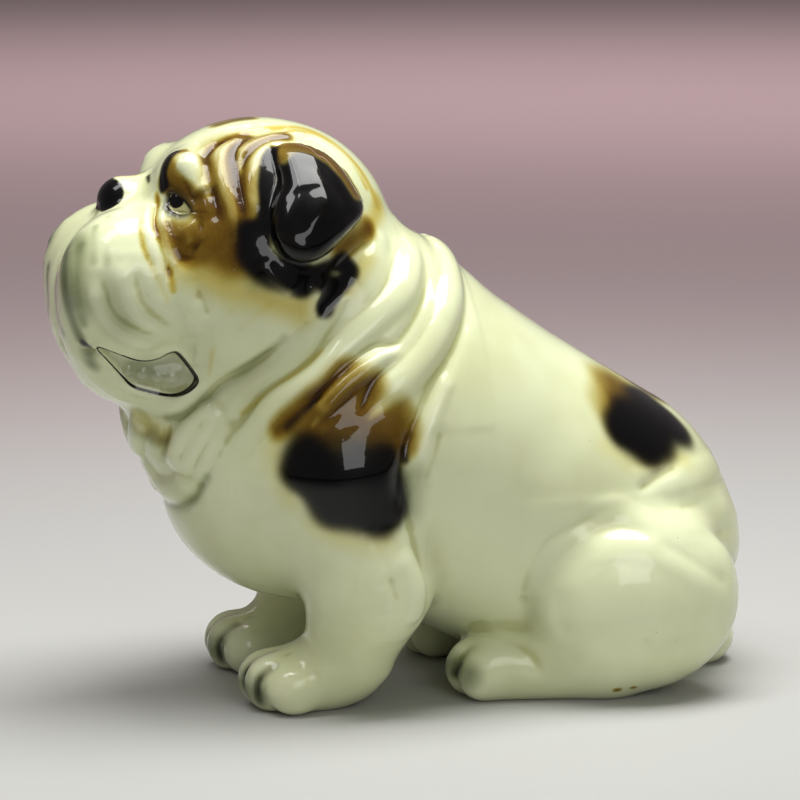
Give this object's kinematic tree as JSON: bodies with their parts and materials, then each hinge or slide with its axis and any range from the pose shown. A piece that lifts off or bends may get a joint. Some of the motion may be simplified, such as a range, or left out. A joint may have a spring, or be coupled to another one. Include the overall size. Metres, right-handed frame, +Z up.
{
  "type": "ceramic dog figurine",
  "caption": "Seated bulldog figurine in glossy glazed earthenware, ivory with black and brown airbrushed patches, head raised.",
  "frame": {"origin": "centre of the outline on the floor, under the belly", "axes": "the dog looks along -Y, its left side is +X, +Z is up"},
  "size_m": [0.1358, 0.2465, 0.1988],
  "materials": {
    "body_glaze": "thick glossy ivory glaze over airbrushed black and brown patches",
    "head_glaze": "thick glossy ivory glaze over brown and black painting",
    "ear_glaze": "thick glossy clear glaze over black with brown edges",
    "leg_glaze": "thick glossy ivory glaze, smoky black toes, bare clay under the feet"
  },
  "bodies": {
    "root": {"torso": "body_glaze", "head": "head_glaze", "left_ear": "ear_glaze", "right_ear": "ear_glaze", "left_foreleg": "leg_glaze", "right_foreleg": "leg_glaze", "left_hind_leg": "leg_glaze", "right_hind_leg": "leg_glaze", "tail": "body_glaze"}
  },
  "joints": []
}
